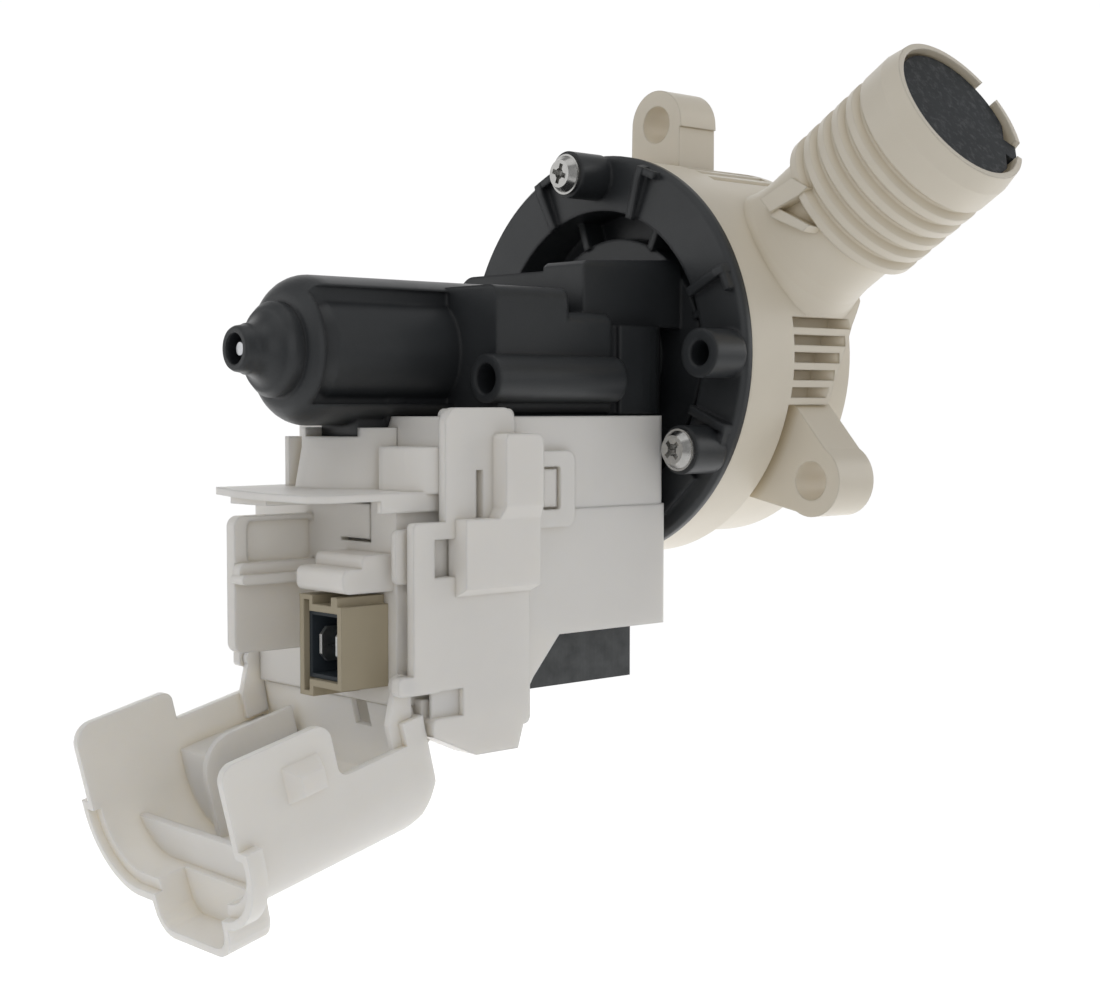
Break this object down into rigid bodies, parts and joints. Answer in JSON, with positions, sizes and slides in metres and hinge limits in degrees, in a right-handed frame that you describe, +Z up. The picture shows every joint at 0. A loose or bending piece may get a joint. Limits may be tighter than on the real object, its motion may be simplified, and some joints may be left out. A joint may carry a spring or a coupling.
{
  "type": "washing machine drain pump",
  "caption": "Drain pump with a ribbed outlet spigot set at an angle, an eared volute, a synchronous motor below the shaft and a hinged splash cover over its connector.",
  "frame": {"origin": "centre of the bolt circle of the three ears, in the plane of their seats", "axes": "+X along the shaft from the motor to the inlet, +Z up away from the coils, the outlet to the -Y side"},
  "size_m": [0.1584, 0.1341, 0.1666],
  "materials": {
    "volute_housing": "moulded, matt",
    "motor_casing": "moulded, matt",
    "flange_seal": "moulded",
    "case_screws": "zinc plated, satin",
    "impeller": "moulded, matt",
    "impeller_cap": "moulded, matt",
    "drive_dog": "moulded, matt",
    "rotor_shaft": "zinc plated, satin",
    "rotor_magnet": "dark, sintered",
    "magnet_sleeve": "moulded, matt",
    "front_bearing_carrier": "moulded, matt",
    "front_bearing": "satin",
    "shaft_seal": "moulded",
    "rear_bearing": "satin",
    "rear_bearing_cushion": "moulded",
    "stator_core": "dark varnish",
    "near_bobbin": "moulded, matt",
    "far_bobbin": "moulded, matt",
    "near_winding": "satin",
    "far_winding": "satin",
    "coil_cover_upper": "moulded, matt",
    "coil_cover_lower": "moulded, matt",
    "terminal_housing": "moulded, matt",
    "connector_shell": "moulded, matt",
    "connector_insert": "moulded, matt",
    "spade_terminals": "zinc plated, satin",
    "thermal_fuse": "moulded, matt",
    "splash_cover": "moulded, matt",
    "check_flap": "moulded"
  },
  "bodies": {
    "stator_body": {"volute_housing": "volute_housing", "motor_casing": "motor_casing", "flange_seal": "flange_seal", "case_screws": "case_screws", "front_bearing_carrier": "front_bearing_carrier", "front_bearing": "front_bearing", "shaft_seal": "shaft_seal", "rear_bearing": "rear_bearing", "rear_bearing_cushion": "rear_bearing_cushion", "stator_core": "stator_core", "near_bobbin": "near_bobbin", "far_bobbin": "far_bobbin", "near_winding": "near_winding", "far_winding": "far_winding", "coil_cover_upper": "coil_cover_upper", "coil_cover_lower": "coil_cover_lower", "terminal_housing": "terminal_housing", "connector_shell": "connector_shell", "connector_insert": "connector_insert", "spade_terminals": "spade_terminals", "thermal_fuse": "thermal_fuse"},
    "rotor": {"rotor_shaft": "rotor_shaft", "rotor_magnet": "rotor_magnet", "magnet_sleeve": "magnet_sleeve", "drive_dog": "drive_dog"},
    "impeller_body": {"impeller": "impeller", "impeller_cap": "impeller_cap"},
    "flap_body": {"check_flap": "check_flap"},
    "cover_body": {"splash_cover": "splash_cover"}
  },
  "joints": [
    {"name": "rotor_spin", "type": "hinge", "parent": "stator_body", "child": "rotor", "pos_m": [0, 0, 0], "axis": [1, 0, 0], "continuous": true},
    {"name": "impeller_play", "type": "hinge", "parent": "rotor", "child": "impeller_body", "pos_m": [0, 0, 0], "axis": [1, 0, 0], "range_deg": [-95, 95]},
    {"name": "flap_hinge", "type": "hinge", "parent": "stator_body", "child": "flap_body", "pos_m": [0.01029, -0.07642, 0.03834], "axis": [0.515, 0.4542, 0.7269], "range_deg": [0, 70]},
    {"name": "cover_hinge", "type": "hinge", "parent": "stator_body", "child": "cover_body", "pos_m": [-0.1002, 0, -0.0603], "axis": [0, 1, 0], "range_deg": [0, 104]}
  ]
}
